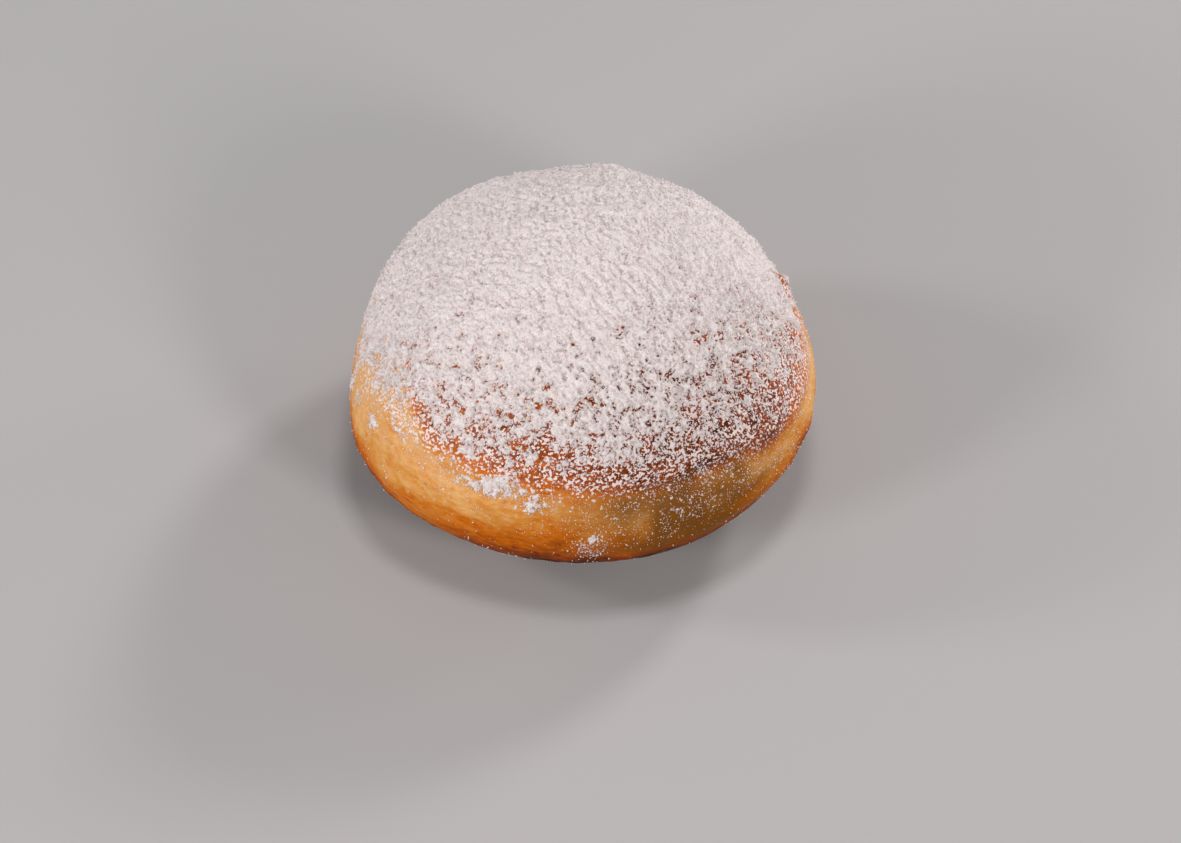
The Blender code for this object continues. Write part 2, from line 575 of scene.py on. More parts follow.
def new_material(name: str, values: dict[str, object]) -> tuple[bpy.types.Material, bpy.types.Node]:
    """Makes a material.

    Args:
        name: What the real one is and how its surface was made.
        values: Names of the shader's inputs that are the same all over, each with its value.

    Returns:
        The material and its shader.
    """
    material = bpy.data.materials.new(name)
    material.use_nodes = True
    shader = material.node_tree.nodes["Principled BSDF"]
    for socket, value in values.items():
        shader.inputs[socket].default_value = value
    return material, shader


@dataclass(frozen=True)
class FriedCrust:
    """Yeast dough fried in fat: a thin browned skin over pale crumb, with a film of oil.

    The browning is a field on the mesh, from the pale belt at 0 to the darkest brown at 1. Where it is
    weak the light goes in and comes back warm, and the oil gives a soft, broken gloss. On the belt at the
    front right the colour is drawn towards a darker olive-brown, which is painted shade. The finest sugar
    lies on the crust as a streaky film and as specks.

    Attributes:
        slot: Name of the part's slot; it is not used.
        stops: Colours from the palest dough to the darkest brown.
        painted_shade: Colour of the painted shade on the belt at the front right.
        film: Colour of a film of powder.
        dust: Colour of a speck of sugar.
        clouds: Width in mm, detail and strength of the blotches and of the mottling.
        squash: How many times wider than high the blotches and wrinkles are.
        pit_mm: Distance between the small pits that the fat has browned.
        pit_edge: Where a pit starts and ends, in distances, and the browning there.
        fibre_mm: Width of the fine wrinkles.
        pore_mm: Width of the pores.
        veil_mm: Width of the streaks in the film.
        streaks: Noise that leaves no film, and noise with the whole film.
        speck_mm: Distance between specks, coarser than icing sugar is, which wouldn't show.
        speck_edge: How abruptly specks begin, and how much they hide.
        reliefs: What the pores, the pits and the specks add to the wrinkles' height.
        bump: Strength of all that relief.
        bump_height: Its height.
        roughness: Least and greatest roughness, from the oil's broken gloss.
        matting: What specks add to the roughness.
    """

    slot: str = "fried_crust"
    stops: tuple[tuple[float, str], ...] = (
        (0.00, "#E9B475"),
        (0.25, "#DA9340"),
        (0.50, "#D06B05"),
        (0.74, "#9A4410"),
        (1.00, "#4C200C"),
    )
    painted_shade: str = "#804E12"
    film: str = "#EBD3BE"
    dust: str = "#F6E9E6"
    clouds: tuple[tuple[float, float, float], ...] = ((6.0, 3.0, 0.10), (1.5, 4.0, 0.09))
    squash: float = 2.4
    pit_mm: float = 2.6
    pit_edge: tuple[float, float, float, float] = (0.05, 0.22, 0.13, 0.0)
    fibre_mm: float = 0.8
    pore_mm: float = 0.3
    veil_mm: float = 0.9
    streaks: tuple[float, float] = (0.38, 0.66)
    speck_mm: float = 0.36
    speck_edge: tuple[float, float] = (0.08, 0.92)
    reliefs: tuple[float, float, float] = (0.5, -3.0, 0.8)
    bump: float = 0.8
    bump_height: float = 0.24 * MM
    roughness: tuple[float, float] = (0.38, 0.62)
    matting: float = 0.4

    def _browning(
        self, tree: bpy.types.NodeTree, squashed: bpy.types.NodeSocket, pits: bpy.types.NodeSocket
    ) -> bpy.types.NodeSocket:
        """Returns the mesh's browning, made uneven by blotches, mottling and pits.

        Args:
            tree: The material's node tree.
            squashed: Output with each place, squashed.
            pits: Output with the browning of the pits.

        Returns:
            Output from 0 to 1.
        """
        uneven = add_node(tree, "Attribute", "Fac", attribute_name="browning")
        patches = []
        for size, detail, strength in self.clouds:
            values = {"Scale": 1000.0 / size, "Detail": detail}
            cloud = add_node(tree, "TexNoise", "Fac", {"Vector": squashed}, values)
            values = dict(zip(RANGE, (*USUAL_NOISE, -strength, strength)))
            patches.append(add_node(tree, "MapRange", "Result", {"Value": cloud}, values))
        for patch in (*patches, pits):
            links = {0: uneven, 1: patch}
            uneven = add_node(tree, "Math", "Value", links, operation="ADD", use_clamp=True)
        return uneven

    def _film(self, tree: bpy.types.NodeTree, place: bpy.types.NodeSocket) -> bpy.types.NodeSocket:
        """Returns how much of the streaky film of powder lies at each place.

        Args:
            tree: The material's node tree.
            place: Output with each place.

        Returns:
            Output from 0 to 1.
        """
        veil = add_node(tree, "Attribute", "Fac", attribute_name="veil")
        values = {"Scale": 1000.0 / self.veil_mm / 2.0, "Detail": 5.0, "Roughness": 0.7}
        streaks = add_node(tree, "TexNoise", "Fac", {"Vector": place}, values)
        values = dict(zip(RANGE, (*self.streaks, 0.0, 1.0)))
        streaked = add_node(tree, "MapRange", "Result", {"Value": streaks}, values)
        return add_node(tree, "Math", "Value", {0: veil, 1: streaked}, operation="MULTIPLY", use_clamp=True)

    def _specks(self, tree: bpy.types.NodeTree, place: bpy.types.NodeSocket) -> bpy.types.NodeSocket:
        """Returns where specks lie, as many as the mesh's dusting asks for.

        Args:
            tree: The material's node tree.
            place: Output with each place.

        Returns:
            Output from 0 to 1.
        """
        values = {"Scale": 1000.0 / self.speck_mm, "Randomness": 1.0}
        cells = add_node(tree, "TexVoronoi", "Color", {"Vector": place}, values)
        chance = add_node(tree, "SeparateColor", "Red", {"Color": cells})
        dusting = add_node(tree, "Attribute", "Fac", attribute_name="dusting")
        ahead = add_node(tree, "Math", "Value", {0: dusting, 1: chance}, operation="SUBTRACT")
        width, most = self.speck_edge
        values = dict(zip(RANGE, (0.0, width, 0.0, most)))
        return add_node(tree, "MapRange", "Result", {"Value": ahead}, values)

    def material(self) -> bpy.types.Material:
        """Returns the material, with its colour led by the mesh's own fields."""
        material, shader = new_material(
            "fried_yeast_dough_crust",
            {
                "IOR": 1.45,
                "Specular IOR Level": 0.05,
                "Subsurface Weight": 0.18,
                "Subsurface Radius": (1.0, 0.45, 0.2),
                "Subsurface Scale": 1.6 * MM,
            },
        )
        tree = material.node_tree
        place = add_node(tree, "NewGeometry", "Position")
        values = {"Scale": (1.0, 1.0, self.squash)}
        squashed = add_node(tree, "Mapping", "Vector", {"Vector": place}, values, vector_type="POINT")
        values = {"Scale": 1000.0 / self.pit_mm, "Randomness": 1.0}
        cells = add_node(tree, "TexVoronoi", "Distance", {"Vector": place}, values)
        values = dict(zip(RANGE, self.pit_edge))
        smooth = "SMOOTHSTEP"
        pits = add_node(tree, "MapRange", "Result", {"Value": cells}, values, interpolation_type=smooth)
        specks = self._specks(tree, place)

        colour = add_node(tree, "ValToRGB", "Color", {"Fac": self._browning(tree, squashed, pits)})
        set_ramp(colour.node, self.stops)
        # Painted shade: the belt at the front right is drawn towards a darker olive-brown.
        fat = add_node(tree, "Attribute", "Fac", attribute_name="painted_shade")
        film = self._film(tree, place)
        for share, code in ((fat, self.painted_shade), (film, self.film), (specks, self.dust)):
            links = {"Factor": share, 6: colour}
            colour = add_node(tree, "Mix", 2, links, {7: srgb(code)}, data_type="RGBA")
        tree.links.new(colour, shader.inputs["Base Color"])

        values = {"Scale": 1000.0 / self.pore_mm / 2.0, "Detail": 2.0}
        pores = add_node(tree, "TexNoise", "Fac", {"Vector": place}, values)
        values = {"Scale": 1000.0 / self.fibre_mm / 2.0, "Detail": 5.0, "Roughness": 0.6}
        fibre = add_node(tree, "TexNoise", "Fac", {"Vector": squashed}, values)
        height = fibre
        for form, gain in zip((pores, pits, specks), self.reliefs):
            links = {0: form, 2: height}
            height = add_node(tree, "Math", "Value", links, {1: gain}, operation="MULTIPLY_ADD")
        values = {"Strength": self.bump, "Distance": self.bump_height}
        bump = add_node(tree, "Bump", "Normal", {"Height": height}, values)
        tree.links.new(bump, shader.inputs["Normal"])

        values = dict(zip(RANGE, (*USUAL_NOISE, *self.roughness)))
        gloss = add_node(tree, "MapRange", "Result", {"Value": fibre}, values)
        links, values = {0: specks, 2: gloss}, {1: self.matting}
        matted = add_node(tree, "Math", "Value", links, values, operation="MULTIPLY_ADD", use_clamp=True)
        tree.links.new(matted, shader.inputs["Roughness"])
        return material


@dataclass(frozen=True)
class IcingSugar:
    """Icing sugar shaken through a sieve: matt powder that lies in crumbs and soaks up a little fat.

    Powder scatters light from grain to grain, so it is soft and nearly white with no gloss. The mesh's own
    field makes it darker and warmer in crevices: partly thin sugar with the crust's warmth coming through,
    partly painted shade in the crevices and in the creases between pads. Real grains are far finer than
    both patterns here, which are as coarse as they need to be to show.

    Attributes:
        slot: Name of the part's slot; it is not used.
        stops: Colours along the mesh's field, from thin sugar and painted crevice shade to the whitest.
        grain_mm: Width of the fine grain.
        grain_range: Noise from which to which it goes.
        painted_grain_shade: How far the grain moves the colour each way, darker in its dents: painted
            shade.
        granule_mm: Width of the granules.
        granule: How far their own shades move the colour.
        bump_height: Height of the grain.
    """

    slot: str = "icing_sugar"
    stops: tuple[tuple[float, str], ...] = (
        (0.00, "#B58C7E"),
        (0.25, "#D6BEB7"),
        (0.60, "#E6D7D5"),
        (1.00, "#FCF4F4"),
    )
    grain_mm: float = 0.22
    grain_range: tuple[float, float] = (0.35, 0.65)
    painted_grain_shade: float = 0.20
    granule_mm: float = 0.27
    granule: float = 0.85
    bump_height: float = 0.34 * MM

    def material(self) -> bpy.types.Material:
        """Returns the material, darker and warmer where the mesh's field is low: thin sugar, and painted
        shade.
        """
        material, shader = new_material(
            "sieved_icing_sugar",
            {
                "Roughness": 0.92,
                "Specular IOR Level": 0.25,
                "Subsurface Weight": 0.15,
                "Subsurface Radius": (1.0, 0.8, 0.7),
                "Subsurface Scale": 0.2 * MM,
            },
        )
        tree = material.node_tree
        place = add_node(tree, "NewGeometry", "Position")
        # The mesh's colour field: thin sugar, and painted shade in crevices and creases.
        proud = add_node(tree, "Attribute", "Fac", attribute_name="proud")
        values = {"Scale": 1000.0 / self.grain_mm / 2.0, "Detail": 3.0, "Roughness": 0.8}
        grain = add_node(tree, "TexNoise", "Fac", {"Vector": place}, values)
        # Painted shade: the grain that makes the bump also darkens the colour in its dents and lightens its
        # bumps.
        values = dict(zip(RANGE, (*self.grain_range, -self.painted_grain_shade, self.painted_grain_shade)))
        between = add_node(tree, "MapRange", "Result", {"Value": grain}, values)
        values = {"Scale": 1000.0 / self.granule_mm, "Randomness": 1.0}
        granules = add_node(tree, "TexVoronoi", "Color", {"Vector": place}, values)
        shade = add_node(tree, "SeparateColor", "Red", {"Color": granules})
        values = {1: self.granule}
        stood = add_node(tree, "Math", "Value", {0: shade, 2: proud}, values, operation="MULTIPLY_ADD")
        shown = add_node(tree, "Math", "Value", {0: stood, 1: between}, operation="ADD", use_clamp=True)
        colour = add_node(tree, "ValToRGB", "Color", {"Fac": shown})
        set_ramp(colour.node, self.stops)
        tree.links.new(colour, shader.inputs["Base Color"])
        values = {"Strength": 1.0, "Distance": self.bump_height}
        bump = add_node(tree, "Bump", "Normal", {"Height": grain}, values)
        tree.links.new(bump, shader.inputs["Normal"])
        return material


@dataclass(frozen=True)
class PaleBoard:
    """A matt painted board: the plain pale floor, with no pattern that the eye could follow."""

    colour: str = "#B8B8B9"
    roughness: float = 0.85

    def material(self) -> bpy.types.Material:
        """Returns the board's matt material."""
        values = {"Base Color": srgb(self.colour), "Roughness": self.roughness}
        return new_material("matt_painted_board", values)[0]


def make_object(
    name: str,
    points: Floats,
    faces: list[list[int]] | list[tuple[int, ...]],
    material: bpy.types.Material,
    fields: dict[str, Floats] | None = None,
) -> bpy.types.Object:
    """Makes an object from arrays.

    Args:
        name: Name of the object and its mesh.
        points: Vertices, one a row.
        faces: Vertex numbers of each face.
        material: What it is dressed in.
        fields: Names of values stored on the vertices, each with its array.

    Returns:
        The new object, linked to the scene and shaded smooth.
    """
    mesh = bpy.data.meshes.new(name)
    mesh.from_pydata(points.tolist(), [], faces)
    mesh.materials.append(material)
    for field_name, values in (fields or {}).items():
        stored = mesh.attributes.new(field_name, "FLOAT", "POINT")
        stored.data.foreach_set("value", values.astype(np.float32))
    mesh.shade_smooth()
    made = bpy.data.objects.new(name, mesh)
    bpy.context.collection.objects.link(made)
    return made


@dataclass(frozen=True)
class Spill:
    """A patch of sugar that has fallen on the belt, or a bare patch.

    Attributes:
        azimuth: Where it is round the doughnut, in degrees.
        height_mm: Where it is above the rest face.
        width_mm: Half its width round the doughnut.
        tall_mm: Half its height.
        amount: What it adds to the share of the crust that is hidden, less than nothing if it is bare.
    """

    azimuth: float
    height_mm: float
    width_mm: float
    tall_mm: float
    amount: float

    def share(self, points: Floats, azimuth: Floats) -> Floats:
        """Returns what the spill adds at each point.

        Args:
            points: Places on the skin, one a row.
            azimuth: Azimuths, in degrees, one for each point.

        Returns:
            One share for each point.
        """
        along = np.radians(turn_between(azimuth, self.azimuth)) * np.hypot(points[:, 0], points[:, 1])
        over = points[:, 2] - self.height_mm * MM
        return self.amount * bell(along, self.width_mm * MM) * bell(over, self.tall_mm * MM)


@dataclass(frozen=True)
class SugarCover:
    """How much icing sugar lies where.

    It was shaken on from above, so it ends at much the same height all round. Over its edge there is a
    fringe where it lies in flocks, and above that it is whole but for pits, which keep together.

    Attributes:
        form: The doughnut that it lies on.
        edge: Height at which the sugar ends.
        fringe: Height above that where it hides half the crust.
        edge_wander: How its edge strays.
        flocks: Noise that gathers it in flocks.
        flock_lift: How far flocks lead the fringe up and down.
        flock_rise: Where over the edge they begin to.
        fringe_power: How abruptly the fringe fills.
        filled: What makes sugar far over the fringe whole, and where it starts and ends, in fringes.
        thin_patches: Noise of the patches where it is thin.
        thin_edge: Noise at which a patch begins, and how much more makes it thinnest.
        thin_loss: What a thin patch lacks.
        pit_spacing: Distance from pit to pit.
        pit_size: Least radius of a pit, and how much larger the largest is, in spacings.
        pit_rim: Width of its rim, in spacings.
        pit_loss: What a pit lacks.
        pits_on_thick: Share of that outside thin patches.
        pits_aside: Share of it away from the pitted front.
        pitted_front: Where most pits are.
        pitted_up: Where over the edge pits and thin patches begin.
        pitted_down: Where they end.
        caught: What the ledge at the crown's edge catches.
        caught_below: How far under the crown's edge that lies.
        caught_width: Half its height.
        caught_side: Where the ledge is.
        spill_flocks: How strongly flocks break up a spill.
        bed: Depth of the sugar where it is whole.
        bed_rise: Where over the edge the bed begins and is deepest.
        crumb: Distance from crumb to crumb.
        crumb_relief: How far crumbs stand up.
        crumb_radius: Where a crumb ends, in distances.
        least_crumb: Height of the lowest crumb beside the highest.
        crumb_level: Level of a crumb's form that leaves the bed as it is.
        fine: Noise that roughens the crumbs.
        fine_share: How strongly it does.
        combed: Direction in which the crumbs are drawn out, seen from above.
        crumb_drawn: How many times longer than wide they are.
        pad_mm: Rough width of the pads that whole sugar has drawn together in.
        pad_humps: Noise of the pads' own form.
        pad_relief: How far pads stand up over the creases between them.
        pad_drawn: How many times longer than wide they are.
        crease_width: Noise on each side of nothing that makes a crease.
        crease_depth: Its depth beside a pad's height.
        gaps: Noise of the finest gaps.
        gap_slope: Slope that spreads it evenly over 0 to 1.
        flock_crumbs: Distance from one small flock to the next, in crumbs.
        lack_parts: What crumbs, small flocks and gaps count for in the pattern of what is open.
        lack_slope: Slope that spreads that pattern evenly over 0 to 1.
        generous: What the share is taken times, so that whole sugar has no gaps.
        rim_share: Surplus from a gap's rim to full depth.
        thick_edge: Surplus at which sugar starts to look thick, and how much more makes it so.
        thin_shade: How light thin sugar is beside thick sugar.
        least_level: Depth where sugar is scarce beside that where it is whole, and so from rim to flock.
        sunk: What the sugar has sunk in, in beds.
        settled_from: Share at which sugar starts to settle.
        settled_loss: What crumbs lose by settling.
        shades: Colour level, and painted shade from crumbs and from pads, in loose and in whole sugar.
        spills: Patches on the belt, and bare ones.
    """

    form: DoughForm
    edge: RoundLine = RoundLine(
        (
            *((-178.0, 23.4), (-163.0, 27.5), (-150.0, 30.2), (-120.0, 29.3), (-60.0, 28.8), (-12.0, 26.8)),
            *((5.0, 26.2), (25.0, 26.0), (80.0, 25.0), (135.0, 23.0), (168.0, 21.8)),
        )
    )
    fringe: RoundLine = RoundLine(
        (
            *((-176.0, 3.6), (-152.0, 3.6), (-130.0, 5.6), (-110.0, 6.0), (-84.0, 5.9), (-66.0, 7.6)),
            *((-48.0, 9.0), (-30.0, 9.9), (-10.0, 9.8), (10.0, 5.0), (30.0, 1.8), (90.0, 2.6)),
        )
    )
    edge_wander: Swell = Swell(11, 9.0, 0.9 * MM)
    flocks: tuple[Swell, ...] = (Swell(12, 4.6, 1.7), Swell(13, 2.1, 1.4))
    flock_lift: float = 1.0 * MM
    flock_rise: Rise = Rise(-3.0, 5.0)
    fringe_power: float = 1.8
    filled: tuple[float, float, float] = (0.10, 2.2, 1.6)
    thin_patches: Swell = Swell(23, 2.8)
    thin_edge: tuple[float, float] = (0.04, 0.42)
    thin_loss: float = 0.40
    pit_spacing: float = 1.9 * MM
    pit_size: tuple[float, float] = (0.25, 0.17)
    pit_rim: float = 0.16
    pit_loss: float = 1.20
    pits_on_thick: float = 0.55
    pits_aside: float = 0.15
    pitted_front: Side = Side(-92.0, 58.0)
    pitted_up: Rise = Rise(0.0, 3.0)
    pitted_down: Rise = Rise(23.0, -11.0)
    caught: float = 0.34
    caught_below: float = 0.9 * MM
    caught_width: float = 0.40 * MM
    caught_side: Side = Side(-146.0, 20.0)
    spill_flocks: float = 0.6
    bed: float = 0.55 * MM
    bed_rise: Rise = Rise(-1.0, 9.0)
    crumb: float = 0.46 * MM
    crumb_relief: float = 0.24 * MM
    crumb_radius: float = 0.80
    least_crumb: float = 0.6
    crumb_level: float = 0.4
    fine: tuple[Swell, ...] = (Swell(18, 0.42), Swell(29, 0.28, 0.8))
    fine_share: float = 0.35
    combed: tuple[float, float, float] = (0.62, -0.70, -0.35)
    crumb_drawn: float = 1.25
    pad_mm: float = 1.45
    pad_humps: tuple[Swell, ...] = (Swell(24, 1.0875, 3.0), Swell(26, 0.58, 1.6))
    pad_relief: float = 0.22 * MM
    pad_drawn: float = 2.4
    crease_width: float = 0.09
    crease_depth: float = 0.7
    gaps: tuple[Swell, ...] = (Swell(14, 0.90), Swell(15, 0.48, 0.9))
    gap_slope: float = 3.5
    flock_crumbs: float = 2.3
    lack_parts: tuple[float, float, float] = (0.26, 0.44, 0.30)
    lack_slope: float = 10.3
    generous: float = 1.04
    rim_share: float = 0.14
    thick_edge: tuple[float, float] = (-0.06, 0.34)
    thin_shade: float = 0.30
    least_level: float = 0.35
    sunk: float = 0.12
    settled_from: float = 0.55
    settled_loss: float = 0.45
    shades: tuple[tuple[float, float], ...] = ((0.64, 0.60), (0.36, 0.14), (0.0, 0.07))
    spills: tuple[Spill, ...] = (
        Spill(-114.0, 28.5, 4.6, 1.7, 0.62),
        Spill(-102.0, 27.0, 2.6, 1.4, 0.52),
        Spill(-86.5, 18.6, 2.3, 2.8, 0.46),
        Spill(20.5, 31.0, 1.7, 1.5, -1.20),
        Spill(-169.0, 23.5, 1.8, 2.4, 0.35),
        Spill(-160.0, 26.5, 1.6, 1.8, 0.35),
        Spill(-149.0, 27.2, 1.6, 1.1, 0.40),
        Spill(-24.0, 32.4, 1.7, 1.2, -1.00),
        Spill(-50.0, 30.0, 3.2, 1.1, -0.80),
        Spill(-37.5, 43.6, 0.8, 0.35, -0.95),
        Spill(-33.0, 43.3, 1.1, 0.28, -0.95),
        Spill(-28.0, 42.4, 1.0, 0.35, -0.95),
        Spill(-23.0, 41.3, 0.8, 0.40, -0.95),
        Spill(-24.0, 43.6, 0.6, 0.5, -0.90),
    )

    def _combed_out(self, points: Floats, drawn: float) -> Floats:
        """Returns the points as along, beside and over the combed direction, squeezed along it.

        Args:
            points: Places on the skin, one a row.
            drawn: How many times to squeeze them.

        Returns:
            One row for each point.
        """
        way = np.array(self.combed) / np.linalg.norm(self.combed)
        side = np.cross(way, (0.0, 0.0, 1.0))
        side /= np.linalg.norm(side)
        return points @ np.column_stack([way / drawn, side, np.cross(side, way)])

    def _pads(self, points: Floats) -> Floats:
        """Returns the relief of the pads, from about -1 in a crease to 1 on a pad.

        Args:
            points: Places on the skin, one a row.

        Returns:
            One value for each point.
        """
        drawn = self._combed_out(points, self.pad_drawn)
        humps = np.clip(swells_at(self.pad_humps, drawn), -1.0, 1.0)
        creases = 1.0 - ease(np.abs(Swell(25, self.pad_mm).at(drawn)) / self.crease_width)
        return humps - self.crease_depth * creases

    def whole(self, points: Floats, azimuth: Floats) -> Floats:
        """Returns how much of the sugar's bed there is under each point, from 0 to 1."""
        return self.bed_rise.at(points[:, 2] - self.edge.at(azimuth))

    def _lost(self, points: Floats, azimuth: Floats) -> Floats:
        """Returns what thin patches and pits lack at each point of the crown.

        Args:
            points: Places on the skin, one a row.
            azimuth: Azimuths, in degrees, one for each point.

        Returns:
            One share for each point.
        """
        start, width = self.thin_edge
        thin = ease((self.thin_patches.at(points) - start) / width)
        nearest, own = LatticeNoise(31).lumps(points, self.pit_spacing)
        least, spread = self.pit_size
        pits = ease((least + spread * own - nearest) / self.pit_rim) * lifted(thin, self.pits_on_thick)
        pits *= lifted(self.pitted_front.at(azimuth), self.pits_aside)
        return self.thin_loss * thin + self.pit_loss * pits

    def share(self, points: Floats, azimuth: Floats) -> Floats:
        """Returns what share of the crust the sugar hides round each point, from 0 to 1.

        The share is half at the fringe's height over the edge. Sugar keeps together in flocks, so the
        height is led up and down by several millimetres from place to place.

        Args:
            points: Places on the skin, one a row.
            azimuth: Azimuths, in degrees, one for each point.

        Returns:
            One share for each point.
        """
        flocks = swells_at(self.flocks, points)
        above = points[:, 2] - self.edge.at(azimuth) + self.edge_wander.at(points)
        half = self.fringe.at(azimuth)
        led = np.maximum(above + self.flock_lift * flocks * self.flock_rise.at(above), 0.0)
        shaken = 1.0 - np.exp(-math.log(2.0) * (led / half) ** self.fringe_power)
        most, start, width = self.filled
        shaken += most * ease((above - start * half) / (width * half))
        shaken -= self._lost(points, azimuth) * self.pitted_up.at(above) * self.pitted_down.at(above)
        spilt = np.sum([spill.share(points, azimuth) for spill in self.spills], axis=0)
        below = self.form.crown_edge.at(azimuth) - points[:, 2]
        caught = self.caught * bell(below - self.caught_below, self.caught_width)
        caught *= self.caught_side.at(azimuth)
        return np.clip(shaken + caught + spilt * (1.0 + self.spill_flocks * flocks), 0.0, 1.0)

    def depth(self, points: Floats, azimuth: Floats) -> tuple[Floats, Floats]:
        """Returns how high the sugar stands over the crust, less than nothing where there is none.

        Args:
            points: Places on the skin.
            azimuth: Their azimuths, in degrees.

        Returns:
            Heights over the crust, and how far each place stands out from 0 in a crevice to 1 on a crumb.
        """
        combed = self._combed_out(points, self.crumb_drawn)
        nearest, own = LatticeNoise(16).lumps(combed, self.crumb)
        _, flock = LatticeNoise(19).lumps(combed, self.flock_crumbs * self.crumb)
        parts = (own, flock, evened(swells_at(self.gaps, points), self.gap_slope))
        mixed = np.sum([part * count for part, count in zip(parts, self.lack_parts)], axis=0)
        share = self.share(points, azimuth)
        surplus = self.generous * share - evened(mixed - 0.5, self.lack_slope)
        spare = np.clip(surplus / self.rim_share, -1.0, 1.0)
        start, width = self.thick_edge
        thick = ease((surplus - start) / width)

        mounds = 1.0 - np.clip(nearest / self.crumb_radius, 0.0, 1.0) ** 2
        crumbs = mounds * lifted(own, self.least_crumb) - self.crumb_level
        crumbs += self.fine_share * swells_at(self.fine, points)
        pads = self._pads(points)
        settled = ease((share - self.settled_from) / (1.0 - self.settled_from))
        laid = self.crumb_relief * crumbs * (1.0 - self.settled_loss * settled)
        laid += self.pad_relief * pads * settled
        level = lifted(share, self.least_level) * lifted(spare, self.least_level) - self.sunk
        height = self.bed * level + laid * ease(spare + 0.8)

        # Colour field: painted shade between crumbs and in the pads' creases, and warmer thin sugar over
        # the crust.
        base, by_crumbs, by_pads = (loose + (whole - loose) * settled for loose, whole in self.shades)
        proud = (base + by_crumbs * crumbs + by_pads * pads) * lifted(thick, self.thin_shade)
        return height, np.clip(proud, 0.0, 1.0)


@dataclass(frozen=True)
class Browning:
    """How brown the fat has fried the dough where, from 0 on the palest belt to 1.

    Attributes:
        wander: How the edges of the colours stray.
        most_fried: Side that is fried most.
        blur: Height over which belt turns to crown, and what the blurred side adds.
        blurred: Side where that edge is soft.
        reach: How far the crown's brown reaches under its edge, what the fried side adds, and what the
            pale side takes off.
        pale: Side where it stops higher.
        crown: Browning at the crown's edge, what the fried side adds, and what height adds, partly painted
            shade.
        crown_rise: Height over which it does.
        low_wander: How strongly the lower edges stray.
        orange: Browning of the belt's lower part.
        orange_rise: Where that begins.
        rim: Height of the brown base's rim, and what its two high sides add, at the lower left as painted
            shade.
        high_rim: Those sides.
        rim_blur: Height over which the rim fades.
        base: Browning of the base, what the fried side adds, and what the dark side adds as painted shade.
        dark: That side.
        belt: Browning of the belt, and what its darker side adds.
        belt_clouds: Noise on the belt.
        belt_side: Its darker side.
    """

    wander: Swell = Swell(21, 7.0, 1.1 * MM)
    most_fried: Side = Side(-56.0, 43.0)
    blur: tuple[float, float] = (3.5 * MM, 4.5 * MM)
    blurred: Side = Side(-8.0, 24.0)
    reach: tuple[float, float, float] = (0.8 * MM, 1.6 * MM, 1.8 * MM)
    pale: Side = Side(-142.0, 30.0)
    crown: tuple[float, float, float] = (0.43, 0.45, 0.26)
    crown_rise: Rise = Rise(0.0, 7.0)
    low_wander: float = 0.9
    orange: float = 0.30
    orange_rise: Rise = Rise(24.0, -6.0)
    rim: tuple[float, float] = (18.8 * MM, 3.5 * MM)
    # The rim's rise at the lower left is painted shade along the lower edge.
    high_rim: tuple[Side, ...] = (Side(-20.0, 20.0), Side(-160.0, 16.0))
    rim_blur: float = 9.0 * MM
    base: tuple[float, float, float] = (0.34, 0.26, 0.30)
    # Painted shade along the lower left edge.
    dark: Side = Side(-162.0, 18.0)
    belt: tuple[float, float] = (0.11, 0.15)
    belt_clouds: Swell = Swell(22, 9.0, 0.09)
    belt_side: Side = Side(-84.0, 34.0)

    def at(self, points: Floats, azimuth: Floats, above: Floats) -> Floats:
        """Returns the browning.

        Args:
            points: Places on the crust.
            azimuth: Their azimuths, in degrees.
            above: Their heights over the crown's edge.

        Returns:
            Values from 0 to 1.
        """
        wander = self.wander.at(points)
        fried = self.most_fried.at(azimuth)
        least, more, less = self.reach
        start = more * fried + least - less * self.pale.at(azimuth)
        crown = ease((above + wander + start) / (self.blur[0] + self.blur[1] * self.blurred.at(azimuth)))
        edge, more, higher = self.crown
        # Height over the edge browns the crust under the sugar: partly real browning, partly painted shade
        # in the pits.
        crown_brown = edge + more * fried + higher * (1.0 - fried) * self.crown_rise.at(above)

        low = points[:, 2] + self.low_wander * wander
        rim = self.rim[0] + self.rim[1] * np.sum([side.at(azimuth) for side in self.high_rim], axis=0)
        least, more, darker = self.base
        base_brown = least + more * fried + darker * self.dark.at(azimuth)
        base_brown *= ease((rim - low) / self.rim_blur)
        base_brown += self.orange * self.orange_rise.at(low)
        base_brown += self.belt[0] + self.belt_clouds.at(points) + self.belt[1] * self.belt_side.at(azimuth)
        return np.clip(base_brown + (crown_brown - base_brown) * crown, 0.0, 1.0)


